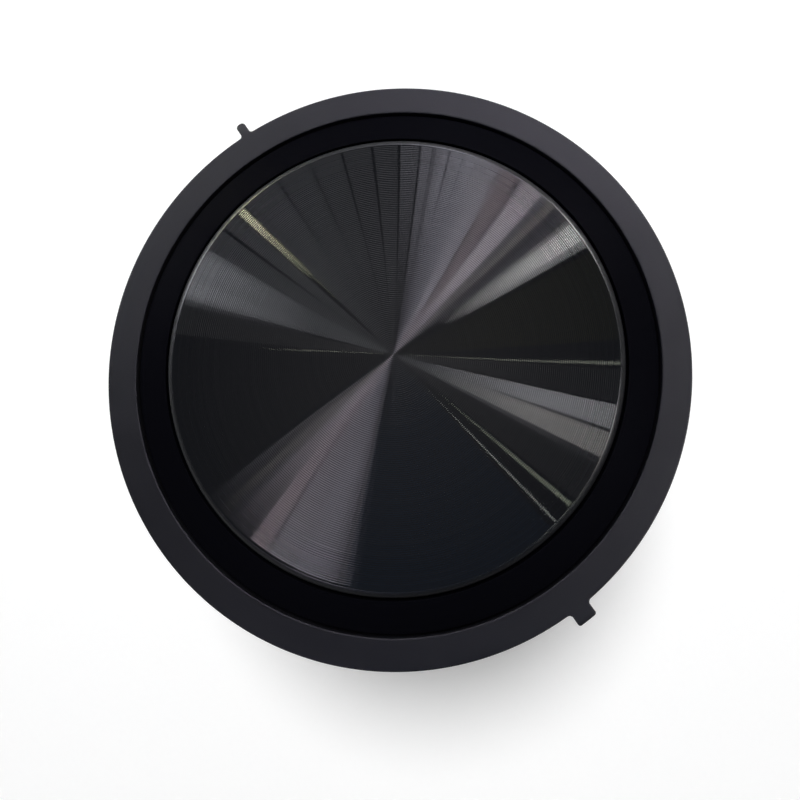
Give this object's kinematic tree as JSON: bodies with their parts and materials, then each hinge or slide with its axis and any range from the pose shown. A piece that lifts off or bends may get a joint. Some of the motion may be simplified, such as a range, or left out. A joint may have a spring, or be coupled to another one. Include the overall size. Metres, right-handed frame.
{
  "type": "survey prism",
  "caption": "Round survey prism: dark ringed glass standing out of a black shoulder and a matte hood ring with two rim lugs, on a bell-shaped canister with a threaded socket behind.",
  "frame": {"origin": "middle of the back cap's rear face, on which the canister stands", "axes": "+Z along the optical axis, out of the glass; +Y is up in the picture and +X is right in it"},
  "size_m": [0.078, 0.078, 0.0656],
  "materials": {
    "hood_plastic": "moulded black plastic, matte front face",
    "body_plastic": "moulded black plastic, fine matte texture",
    "prism_glass": "dark polished glass with fine concentric rings and a bright chamfered rim",
    "black_aluminium": "turned aluminium, dull black anodised",
    "rubber": "black moulded rubber",
    "steel": "turned stainless steel",
    "nylon": "grey moulded nylon",
    "brass": "machined brass"
  },
  "bodies": {
    "canister": {"canister_body": "body_plastic", "bayonet_pin_1": "steel", "bayonet_pin_2": "steel", "bayonet_pin_3": "steel", "hood_seal": "rubber", "front_gasket": "rubber", "prism_glass": "prism_glass", "retaining_ring": "black_aluminium", "seat_gasket": "rubber", "prism_cushion": "rubber", "prism_cradle": "nylon", "wave_spring": "steel", "back_cap": "body_plastic", "back_seal": "rubber", "threaded_insert": "brass", "cap_screw_1": "steel", "cap_screw_2": "steel", "cap_screw_3": "steel", "cap_screw_4": "steel"},
    "hood": {"hood_ring": "hood_plastic"}
  },
  "joints": [
    {"name": "hood_turn", "type": "hinge", "parent": "canister", "child": "hood", "pos_m": [0, 0, 0.054], "axis": [0, 0, 1], "range_deg": [0, 30]}
  ]
}
